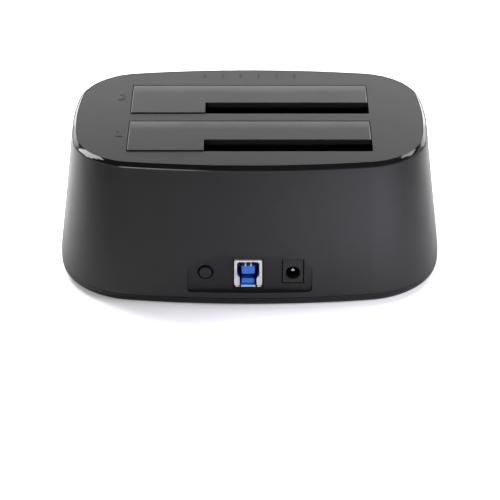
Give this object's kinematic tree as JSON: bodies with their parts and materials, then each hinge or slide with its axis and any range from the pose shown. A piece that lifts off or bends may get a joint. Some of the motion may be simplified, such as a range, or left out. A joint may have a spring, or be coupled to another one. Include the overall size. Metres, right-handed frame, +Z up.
{
  "type": "hard drive docking station",
  "caption": "Desktop docking station with top-loading drive bays, sprung L-shaped dust flaps, drive sockets, and a rear panel with data port, power inlet and push button.",
  "frame": {"origin": "centre of the bounding box's bottom face, on the table under the feet", "axes": "+X across the width, -Y towards the connector side seen in the picture, +Y towards the side with the lights, +Z up"},
  "size_m": [0.1654, 0.11, 0.064],
  "materials": {
    "shell_satin": "satin black ABS, polished bevel",
    "panel_matte": "fine-grained black ABS",
    "cover_satin": "satin black ABS",
    "foot_rubber": "black rubber",
    "screw_steel": "zinc-plated steel",
    "frame_black": "plain black ABS",
    "flap_matte": "fine-grained black ABS",
    "pin_steel": "bright plated steel",
    "spring_steel": "spring wire",
    "board_green": "solder mask on glass laminate",
    "socket_black": "black glass-filled nylon",
    "contact_gold": "gold-flashed contact",
    "usb_steel": "nickel-plated steel sheet",
    "usb_blue": "blue nylon",
    "button_black": "black ABS",
    "switch_white": "white nylon",
    "lamp_white": "cast lamp resin",
    "guide_smoke": "smoke acrylic",
    "lead_black": "PVC insulation",
    "chip_black": "moulded package",
    "can_aluminium": "sleeveless can"
  },
  "bodies": {
    "dock": {"housing": "shell_satin", "top_panel": "panel_matte", "bottom_cover": "cover_satin", "foot_rear_left": "foot_rubber", "foot_rear_right": "foot_rubber", "foot_front_left": "foot_rubber", "foot_front_right": "foot_rubber", "cover_screws": "screw_steel", "bay_frame_rear": "frame_black", "bay_frame_front": "frame_black", "frame_screws": "screw_steel", "flap_pin_rear": "pin_steel", "flap_pin_front": "pin_steel", "flap_spring_rear": "spring_steel", "flap_spring_front": "spring_steel", "main_board": "board_green", "board_screws": "screw_steel", "sata_socket_rear": "socket_black", "sata_socket_front": "socket_black", "sata_contacts_rear": "contact_gold", "sata_contacts_front": "contact_gold", "usb_shell": "usb_steel", "usb_insulator": "usb_blue", "usb_contacts": "pin_steel", "dc_jack_body": "socket_black", "dc_jack_pin": "pin_steel", "dc_jack_spring": "contact_gold", "switch_body": "socket_black", "switch_spring": "spring_steel", "led_board": "board_green", "leds": "lamp_white", "light_guide": "guide_smoke", "led_screws": "screw_steel", "ribbon_lead": "lead_black", "lead_headers": "switch_white", "bridge_chip": "chip_black", "capacitors": "can_aluminium", "coils": "chip_black"},
    "rear_flap": {"flap_rear": "flap_matte"},
    "front_flap": {"flap_front": "flap_matte"},
    "power_button": {"button_cap": "button_black", "switch_plunger": "switch_white"}
  },
  "joints": [
    {"name": "rear_flap_hinge", "type": "hinge", "parent": "dock", "child": "rear_flap", "pos_m": [0, -0.00225, 0.0601], "axis": [1, 0, 0], "range_deg": [0, 88], "stiffness_Nm_per_rad": 0.002, "springref_deg": -57.3, "deforming": ["flap_spring_rear"]},
    {"name": "front_flap_hinge", "type": "hinge", "parent": "dock", "child": "front_flap", "pos_m": [0, 0.03345, 0.0601], "axis": [1, 0, 0], "range_deg": [0, 88], "stiffness_Nm_per_rad": 0.002, "springref_deg": -57.3, "deforming": ["flap_spring_front"]},
    {"name": "power_button_press", "type": "slide", "parent": "dock", "child": "power_button", "axis": [0, 1, 0], "range_m": [0, 0.0015], "stiffness_N_per_m": 300, "springref_m": -0.003, "deforming": ["switch_spring"]}
  ]
}
